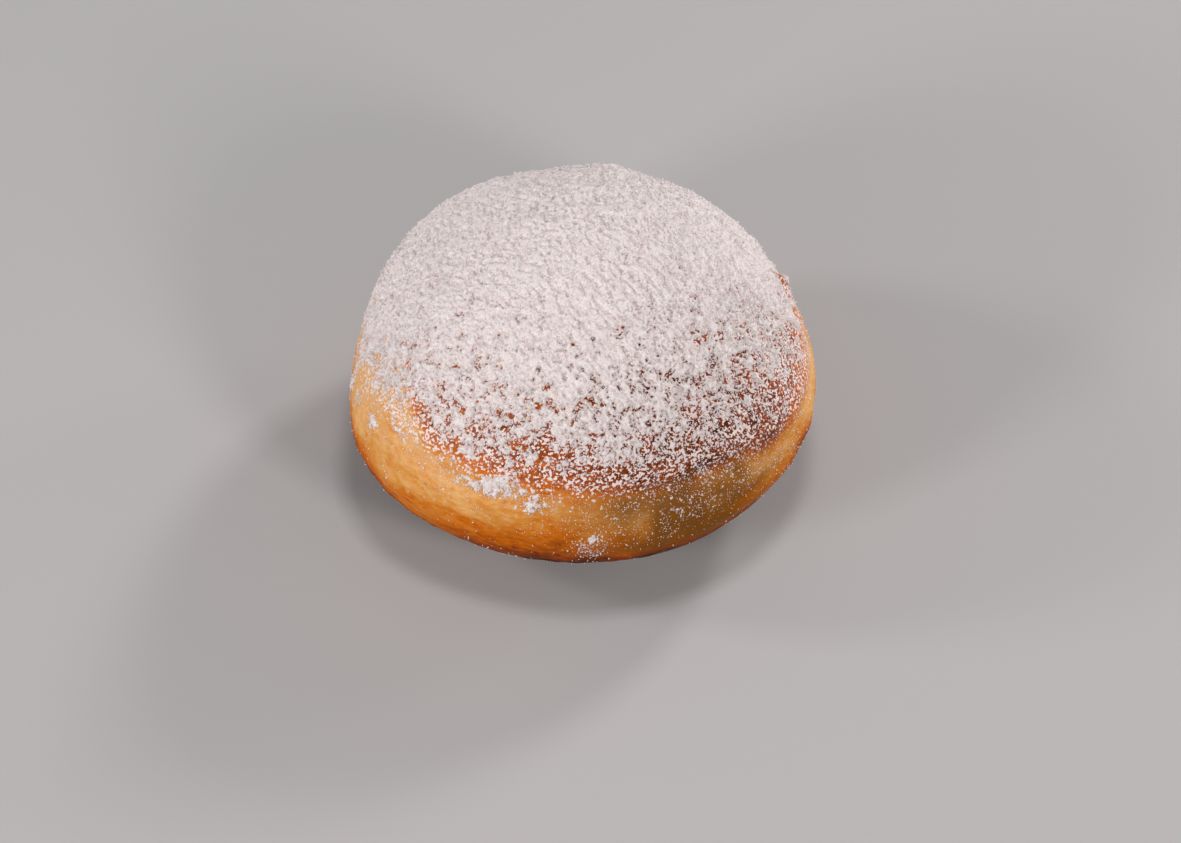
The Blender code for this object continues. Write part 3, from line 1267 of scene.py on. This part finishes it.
@dataclass(frozen=True)
class Dough:
    """The fried dough itself, as one closed mesh.

    Attributes:
        form: The doughnut's form.
        cover: The sugar that lies on it.
        around: Vertices in each ring.
        rings: Rings from pole to pole.
        edge_ring: Latitude of the ring that runs along the edge of the crown, in degrees.
        edge_spread: How far from it rings give way, in degrees.
        browning: Where it is how brown.
        dust_by_share: Dusting that comes with the blanket's sugar.
        dust_sieved: Dusting on all that faced the sieve.
        sieved: Where over the sugar's edge that is.
        dust_drifted: Dusting drifted down on the front and the sides.
        drifted: How far under the edge it has drifted on the front.
        dust_front: Where the front is.
        dust_sides: Where the sides are.
        side_drift: How much more drifted there.
        fat: How much painted shade the belt gets at the front right, and the noise in that.
        painted_shade_gain: How strongly that painted shade darkens the belt.
        painted_shade_side: Where it does.
        painted_shade_up: Height at which it begins.
        painted_shade_down: Height under the crown's edge at which it ends.
        film: Thickness of the film of powder just under the sugar.
        film_right: The same on the belt at the right.
        film_left: The same on the belt at the left.
    """

    form: DoughForm
    cover: SugarCover
    around: int = 400
    rings: int = 122
    edge_ring: float = 16.667
    edge_spread: float = 25.0
    browning: Browning = Browning()
    dust_by_share: float = 0.22
    dust_sieved: float = 0.32
    sieved: Rise = Rise(-2.0, 4.0)
    dust_drifted: float = 0.10
    drifted: Rise = Rise(-9.0, 9.0)
    dust_front: Side = Side(-60.0, 45.0)
    dust_sides: tuple[Side, ...] = (Side(-15.0, 15.0), Side(-140.0, 26.0))
    side_drift: float = 1.3
    # Painted shade on the belt at the front right.
    fat: tuple[float, Swell] = (0.85, Swell(27, 5.0, 0.35))
    painted_shade_gain: float = 1.2
    painted_shade_side: Side = Side(-61.0, 26.0)
    painted_shade_up: Rise = Rise(13.0, 5.0)
    painted_shade_down: Rise = Rise(2.5, -4.0)
    film: float = 0.05
    film_right: float = 0.26
    film_left: float = 0.14

    def _grid(self) -> tuple[Floats, Floats]:
        """Returns the latitudes and azimuths of all rings but the poles, ring by ring."""
        levels = np.radians(np.linspace(-90.0, 90.0, self.rings + 1)[1:-1])
        turns = np.linspace(-180.0, 180.0, self.around, endpoint=False)
        latitude, azimuth = (grid.ravel() for grid in np.meshgrid(levels, turns, indexing="ij"))
        ring, spread = math.radians(self.edge_ring), math.radians(self.edge_spread)
        return self.form.led_latitude(latitude, azimuth, ring, spread), azimuth

    def _faces(self) -> list[tuple[int, ...]]:
        """Returns quads between the rings and a fan at each pole, all facing outwards."""
        count = self.rings - 1
        south, north = count * self.around, count * self.around + 1
        faces: list[tuple[int, ...]] = []
        for here in range(self.around):
            there = (here + 1) % self.around
            faces.append((south, there, here))
            top = (count - 1) * self.around
            faces.append((north, top + here, top + there))
            for ring in range(count - 1):
                low, high = ring * self.around, (ring + 1) * self.around
                faces.append((low + here, low + there, high + there, high + here))
        return faces

    def _dusting(self, points: Floats, azimuth: Floats) -> Floats:
        """Returns how thickly the finest sugar dusts the crust at each point, from 0 to 1.

        Args:
            points: Places on the skin, one a row.
            azimuth: Azimuths, in degrees, one for each point.

        Returns:
            One share for each point.
        """
        share = self.cover.share(points, azimuth)
        above = points[:, 2] - self.cover.edge.at(azimuth)
        sieved = self.sieved.at(above)
        sides = np.sum([side.at(azimuth) for side in self.dust_sides], axis=0)
        drift = self.drifted.at(above) * self.dust_front.at(azimuth) + self.side_drift * sides * sieved
        dusting = self.dust_by_share * share + self.dust_sieved * sieved + self.dust_drifted * drift
        return np.clip(dusting, 0.0, 1.0)

    def _painted_shade(self, points: Floats, azimuth: Floats) -> Floats:
        """Returns how strongly painted shade darkens the belt at the front right, from 0 to 1.

        Args:
            points: Places on the skin, one a row.
            azimuth: Azimuths, in degrees, one for each point.

        Returns:
            One share for each point.
        """
        cloudy = self.fat[0] + self.fat[1].at(points)
        above = points[:, 2] - self.form.crown_edge.at(azimuth)
        belt = self.painted_shade_up.at(points[:, 2]) * self.painted_shade_down.at(above)
        return np.clip(self.painted_shade_gain * cloudy * belt * self.painted_shade_side.at(azimuth), 0.0, 1.0)

    def _veil(self, points: Floats, azimuth: Floats) -> Floats:
        """Returns how thickly a film of powder veils the crust, from 0 to 1.

        Args:
            points: Places on the skin, one a row.
            azimuth: Azimuths, in degrees, one for each point.

        Returns:
            One share for each point.
        """
        below = self.cover.edge.at(azimuth) - points[:, 2]
        veil = self.film * Rise(9.0, -9.0).at(below) * Rise(-2.0, 2.0).at(below)
        veil += self.film_right * Side(0.0, 22.0).at(azimuth) * bell(below + 2.0 * MM, 5.0 * MM)
        veil += self.film_left * Side(-140.0, 30.0).at(azimuth) * Rise(3.0, -5.0).at(below)
        return veil

    def build(self) -> bpy.types.Object:
        """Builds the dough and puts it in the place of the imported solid."""
        latitude, azimuth = self._grid()
        points, normals = self.form.skin(latitude, azimuth)
        lowered = self.cover.bed * self.cover.whole(points, azimuth)
        points = points - normals * lowered[:, None]
        points[:, 2] = np.maximum(points[:, 2], 0.0)
        poles = np.array([points[: self.around].mean(axis=0), points[-self.around :].mean(axis=0)])
        points = np.vstack([points, poles])
        turns = np.append(azimuth, [0.0, 0.0])
        above = points[:, 2] - self.form.crown_edge.at(turns)
        fields = {
            "browning": self.browning.at(points, turns, above),
            "dusting": self._dusting(points, turns),
            "painted_shade": self._painted_shade(points, turns),
            "veil": self._veil(points, turns),
        }
        dough = make_object("dough", points, self._faces(), FriedCrust().material(), fields)
        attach(dough, BODY)
        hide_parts(NODE)
        return dough


class Quarter(Enum):
    """A quarter of the crown, seen from above, by the signs of x and y."""

    BACK_RIGHT = (1, 1)
    BACK_LEFT = (-1, 1)
    FRONT_LEFT = (-1, -1)
    FRONT_RIGHT = (1, -1)


@dataclass(frozen=True)
class SugarBlanket:
    """A quarter of the sheet of sugar over the crown: crumbly, and open where gaps show the crust.

    Attributes:
        form: The doughnut's form.
        cover: How much sugar lies where.
        quarter: Which quarter it is.
        pitch: Distance from vertex to vertex along the skin.
        hidden: How far under the crust a face has to be to be left out.
    """

    form: DoughForm
    cover: SugarCover
    quarter: Quarter
    pitch: float = 0.172 * MM
    hidden: float = 0.06 * MM

    def _places(self) -> tuple[Floats, Floats, Ints]:
        """Returns latitudes and azimuths of a square net laid over the quarter, and the net's numbers."""
        levels = np.radians(np.linspace(90.0, 0.0, 400))
        profile, _ = self.form.plain(levels, np.zeros_like(levels))
        arcs = np.append(0.0, np.cumsum(np.linalg.norm(np.diff(profile, axis=0), axis=1)))
        count = int(arcs[-1] / self.pitch)
        spans = {1: np.arange(0, count + 1), -1: np.arange(-count, 1)}
        right, back = (spans[sign] for sign in self.quarter.value)
        rows, columns = np.meshgrid(back, right, indexing="ij")
        across, along = columns.ravel() * self.pitch, rows.ravel() * self.pitch
        arc = np.hypot(across, along)
        latitude = np.interp(arc, arcs, levels)
        azimuth = np.degrees(np.arctan2(along, across))
        inside = arc < arcs[-1]
        number = np.where(inside, np.cumsum(inside) - 1, -1).reshape(rows.shape)
        return latitude[inside], azimuth[inside], number

    def build(self) -> bpy.types.Object:
        """Builds the quarter of the sheet over the dough."""
        latitude, azimuth, number = self._places()
        points, normals = self.form.skin(latitude, azimuth)
        depth, proud = self.cover.depth(points, azimuth)
        lowered = self.cover.bed * self.cover.whole(points, azimuth)
        points = points + normals * (depth - lowered)[:, None]
        corners = np.stack([number[:-1, :-1], number[:-1, 1:], number[1:, 1:], number[1:, :-1]], axis=-1)
        corners = corners.reshape(-1, 4)
        corners = corners[(corners >= 0).all(axis=1)]
        corners = corners[(depth[corners] > -self.hidden).any(axis=1)]
        used, renumbered = np.unique(corners, return_inverse=True)
        faces = renumbered.reshape(-1, 4).tolist()
        name = "sugar_blanket_" + self.quarter.name.lower()
        blanket = make_object(name, points[used], faces, IcingSugar().material(), {"proud": proud[used]})
        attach(blanket, BODY)
        return blanket


class GrainShape(Enum):
    """What a grain of the scattered sugar is made from."""

    SPLINTER = "a bent double pyramid of 8 faces"
    CLOT = "a lumpy ball of 20 faces"

    def solid(self) -> tuple[Floats, Ints]:
        """Returns the vertices and triangles of the shape at a radius of about 1."""
        if self is GrainShape.SPLINTER:
            points = np.array([(1, 0, 0), (0, 1, 0), (-1, 0, 0), (0, -1, 0), (0, 0, 1), (0, 0, -1)], float)
            faces = [(here, (here + 1) % 4, 4) for here in range(4)]
            faces += [((here + 1) % 4, here, 5) for here in range(4)]
            return points, np.array(faces)
        golden = (1.0 + math.sqrt(5.0)) / 2.0
        corners = [(0.0, a, b * golden) for a in (-1.0, 1.0) for b in (-1.0, 1.0)]
        points = np.array([np.roll(corner, turn) for turn in range(3) for corner in corners])
        points /= np.linalg.norm(points[0])
        hull = bmesh.new()
        for point in points:
            hull.verts.new(point)
        bmesh.ops.convex_hull(hull, input=hull.verts[:])
        hull.verts.index_update()
        faces = [tuple(vertex.index for vertex in face.verts) for face in hull.faces]
        points = np.array([vertex.co[:] for vertex in hull.verts])
        hull.free()
        return points, np.array(faces)


class SugarZone(Enum):
    """Where scattered sugar lies."""

    BLANKET = "all over the blanket"
    FRINGE = "in the fringe and in the pits, where crust shows between flocks"
    BELT = "fallen on the belt"


@dataclass(frozen=True)
class ScatteredSugar:
    """Loose sugar of one kind, as one joined mesh of single grains.

    Attributes:
        name: Name of the piece.
        form: The doughnut's form.
        cover: How much sugar lies where.
        zone: Where the grains lie.
        shape: What each grain is made from.
        count: How many there are.
        smallest: Width of the smallest.
        largest: Width of the largest.
        seed: Which random draw it is.
        lowest: Latitude under which no grain lies, in degrees.
        places_each: Places drawn for each grain, of which the likeliest are kept.
        size_power: How much rarer large grains are than small ones.
        proud: How far a grain's middle stands over what it lies on, in widths.
        least_stretch: Least stretch of a grain along each axis.
        stretch_spread: How much more the greatest is.
        bend: How far its corners stray in and out.
    """

    name: str
    form: DoughForm
    cover: SugarCover
    zone: SugarZone
    shape: GrainShape
    count: int
    smallest: float
    largest: float
    seed: int
    lowest: float = -35.0
    places_each: int = 14
    size_power: float = 1.8
    proud: float = 0.28
    least_stretch: float = 0.7
    stretch_spread: float = 0.6
    bend: float = 0.25

    def _candidates(self, draw: np.random.Generator) -> tuple[Floats, Floats]:
        """Returns latitudes and azimuths spread evenly over the skin, down to the base's rim.

        Args:
            draw: The random numbers.

        Returns:
            Latitudes in radians and azimuths in degrees.
        """
        levels = np.radians(np.linspace(self.lowest, 90.0, 600))
        profile, _ = self.form.plain(levels, np.zeros_like(levels))
        steps = np.linalg.norm(np.diff(profile, axis=0), axis=1)
        rings = steps * (profile[1:, 0] + profile[:-1, 0])
        areas = np.append(0.0, np.cumsum(rings))
        wanted = self.places_each * self.count
        latitude = np.interp(draw.random(wanted) * areas[-1], areas, levels)
        return latitude, draw.random(wanted) * 360.0 - 180.0

    def _weights(self, points: Floats, azimuth: Floats) -> Floats:
        """Returns how likely a grain is at each point, in any unit.

        Grains lie where the blanket is whole; where crust and sugar mix; or on the belt under the sugar,
        in drifts on the fried side and along the edge at the left.

        Args:
            points: Places on the skin, one a row.
            azimuth: Azimuths, in degrees, one for each point.

        Returns:
            One weight for each point.
        """
        share = np.clip(self.cover.share(points, azimuth), 0.0, 1.0)
        above = points[:, 2] - self.cover.edge.at(azimuth)
        if self.zone is SugarZone.BLANKET:
            return np.clip(share - 0.55, 0.0, 1.0)
        if self.zone is SugarZone.FRINGE:
            return share**1.4 * (1.02 - share) + 0.004
        drift = Rise(-13.0, 12.0).at(above) * (0.05 + Side(-58.0, 36.0).at(azimuth))
        drift += 0.9 * Side(-138.0, 22.0).at(azimuth) * bell(above + 0.8 * MM, 2.0 * MM)
        drift *= 0.35 + ease(0.5 + Swell(28, 2.6, 1.4).at(points))
        return np.where(share < 0.5, drift + 2.2 * share, 0.02)

    def build(self) -> bpy.types.Object:
        """Builds the grains and lays them on the sugar or the crust."""
        draw = np.random.default_rng(self.seed)
        latitude, azimuth = self._candidates(draw)
        points, normals = self.form.skin(latitude, azimuth)
        weights = self._weights(points, azimuth)
        keys = draw.random(len(weights)) ** (1.0 / np.maximum(weights, 1e-9))
        chosen = np.argsort(-keys)[: self.count]
        points, normals, azimuth = points[chosen], normals[chosen], azimuth[chosen]
        lift = np.maximum(self.cover.depth(points, azimuth)[0], 0.0)
        lift -= self.cover.bed * self.cover.whole(points, azimuth)
        sizes = draw.random(self.count) ** self.size_power
        widths = self.smallest + (self.largest - self.smallest) * sizes
        middles = points + normals * (lift + self.proud * widths)[:, None]
        corners, triangles = self.shape.solid()
        axes = np.linalg.qr(draw.normal(size=(self.count, 3, 3)))[0]
        stretch = self.least_stretch + self.stretch_spread * draw.random((self.count, 1, 3))
        bent = 1.0 + self.bend * (draw.random((self.count, len(corners), 1)) - 0.5)
        local = (corners[None] * stretch * bent) @ axes * (widths / 2.0)[:, None, None]
        vertices = (local + middles[:, None]).reshape(-1, 3)
        turned = np.linalg.det(axes) < 0.0
        faces = np.where(turned[:, None, None], triangles[None, :, ::-1], triangles[None])
        faces = (faces + (np.arange(self.count) * len(corners))[:, None, None]).reshape(-1, 3)
        fields = {"proud": np.full(len(vertices), 1.0)}
        grains = make_object(self.name, vertices, faces.tolist(), IcingSugar().material(), fields)
        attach(grains, BODY)
        return grains


@dataclass(frozen=True)
class SoftLight:
    """A soft square light.

    Attributes:
        name: Its name.
        place: Where it hangs.
        size: Its width.
        watts: Its power.
        colour: Its colour as an sRGB hex code.
    """

    name: str
    place: tuple[float, float, float]
    size: float
    watts: float
    colour: str

    def hang(self, aim: Vector) -> None:
        """Hangs the light up, so that it faces a point.

        Args:
            aim: The point.
        """
        lamp = bpy.data.lights.new(self.name, "AREA")
        lamp.size = self.size
        lamp.energy = self.watts
        lamp.color = srgb(self.colour)[:3]
        hung = bpy.data.objects.new(self.name, lamp)
        hung.location = self.place
        hung.rotation_euler = (aim - Vector(self.place)).to_track_quat("-Z", "Y").to_euler()
        bpy.context.collection.objects.link(hung)


def turned(first: Vector, second: Vector, degrees: float) -> tuple[Vector, Vector]:
    """Returns two directions at right angles, both turned from the first towards the second.

    Args:
        first: The direction that turns.
        second: The direction that it turns towards.
        degrees: How far they turn.

    Returns:
        The two turned directions.
    """
    angle = math.radians(degrees)
    ahead, beside = math.cos(angle), math.sin(angle)
    return first * ahead + second * beside, second * ahead - first * beside


@dataclass(frozen=True)
class Studio:
    """The plain pale floor, the soft lights and the camera.

    The camera stands where the reference view has it: well above the table and far off with a long lens.

    Attributes:
        elevation: Camera's height above level, in degrees.
        distance: Camera's distance from the aim.
        lens_mm: Focal length.
        sensor_mm: Width of the sensor.
        pan: Turn of the camera to the right, in degrees.
        tilt: Turn of the camera upwards, in degrees.
        roll: Turn of the camera about its own line of sight, in degrees.
        nearest: Distance from which on the camera sees.
        farthest: Distance up to which it sees.
        aim: Point that the camera's place is measured from, and that the lights face.
        floor_size: Width of the floor.
        sky_colour: Colour of the even light from all round, as an sRGB hex code.
        sky_strength: Its strength.
        lights: The soft lights.
    """

    elevation: float = 45.0
    distance: float = 1.0
    lens_mm: float = 169.7
    sensor_mm: float = 36.0
    pan: float = -0.126
    tilt: float = 0.530
    roll: float = -1.78
    nearest: float = 0.05
    farthest: float = 50.0
    aim: tuple[float, float, float] = (-0.75 * MM, -0.25 * MM, 20.0 * MM)
    floor_size: float = 12.0
    sky_colour: str = "#E9EAEE"
    sky_strength: float = 0.12
    lights: tuple[SoftLight, ...] = (
        SoftLight("left", (-0.80, 0.00, 0.42), 0.16, 1.9, "#FFFAF9"),
        SoftLight("back_right", (0.56, 0.66, 0.50), 0.16, 3.7, "#FFFAF9"),
        SoftLight("right_low", (0.83, 0.42, 0.20), 0.20, 1.6, "#FFF7F1"),
        SoftLight("front_left", (-0.68, -0.58, 0.34), 0.20, 3.5, "#FFF8F4"),
        SoftLight("front_right", (0.52, -0.66, 0.46), 0.20, 3.2, "#FFF8F4"),
        SoftLight("top", (0.04, -0.10, 0.95), 0.20, 2.2, "#FFFCFB"),
    )

    def _floor(self) -> None:
        """Lays the floor level with the rest face."""
        half = self.floor_size / 2.0
        corners = np.array([(-half, -half, 0.0), (half, -half, 0.0), (half, half, 0.0), (-half, half, 0.0)])
        floor = make_object("floor", corners, [(0, 1, 2, 3)], PaleBoard().material())

    def _camera(self) -> None:
        """Sets up the camera."""
        height = math.radians(self.elevation)
        right = Vector((1.0, 0.0, 0.0))
        ahead = Vector((0.0, math.cos(height), -math.sin(height)))
        up = right.cross(ahead)
        place = Vector(self.aim) - ahead * self.distance
        right, ahead = turned(right, ahead, self.pan)
        up, ahead = turned(up, ahead, self.tilt)
        right, up = turned(right, up, -self.roll)
        lens = bpy.data.cameras.new("camera")
        lens.sensor_width = self.sensor_mm
        lens.lens = self.lens_mm
        lens.clip_start = self.nearest
        lens.clip_end = self.farthest
        camera = bpy.data.objects.new("camera", lens)
        pose = Matrix((right, up, -ahead)).transposed().to_4x4()
        camera.matrix_world = Matrix.Translation(place) @ pose
        bpy.context.collection.objects.link(camera)
        bpy.context.scene.camera = camera

    def build(self) -> None:
        """Builds the floor, the lights, the sky and the camera."""
        self._floor()
        for light in self.lights:
            light.hang(Vector(self.aim))
        world = bpy.data.worlds.new("sky")
        world.use_nodes = True
        sky = world.node_tree.nodes["Background"]
        sky.inputs["Color"].default_value = srgb(self.sky_colour)
        sky.inputs["Strength"].default_value = self.sky_strength
        bpy.context.scene.world = world
        self._camera()
        bpy.context.scene.view_settings.view_transform = "Standard"


def fitted_form() -> DoughForm:
    """Returns the form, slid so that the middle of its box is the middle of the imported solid's box."""
    levels = np.radians(np.linspace(-89.0, 89.0, 90))
    turns = np.linspace(-180.0, 180.0, 120, endpoint=False)
    latitude, azimuth = (grid.ravel() for grid in np.meshgrid(levels, turns, indexing="ij"))
    points, _ = DoughForm().skin(latitude, azimuth)
    middle = (points.min(axis=0) + points.max(axis=0)) / 2.0
    low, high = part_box(NODE)
    wanted = (np.array(low) + np.array(high)) / 2.0
    return DoughForm(slide=(float(wanted[0] - middle[0]), float(wanted[1] - middle[1])))


def main() -> None:
    """Builds the doughnut, its sugar and the studio."""
    logging.basicConfig(level=logging.INFO, format="%(name)s: %(message)s")
    form = fitted_form()
    cover = SugarCover(form)
    crumbs = ScatteredSugar(
        "sugar_crumbs", form, cover, SugarZone.BLANKET, GrainShape.CLOT, 1800, 0.26 * MM, 0.52 * MM, 41
    )
    flocks = ScatteredSugar(
        "sugar_flocks", form, cover, SugarZone.FRINGE, GrainShape.SPLINTER, 17500, 0.14 * MM, 0.42 * MM, 42
    )
    dust = ScatteredSugar(
        "sugar_dust", form, cover, SugarZone.BELT, GrainShape.SPLINTER, 11500, 0.09 * MM, 0.28 * MM, 43
    )
    blanket = [SugarBlanket(form, cover, quarter) for quarter in Quarter]
    for builder in (Dough(form, cover), *blanket, crumbs, flocks, dust):
        piece = builder.build()
        log.info("%s: %d faces", piece.name, len(piece.data.polygons))
    Studio().build()
    log.info("studio: floor, lights and camera")


if __name__ == "__main__":
    main()
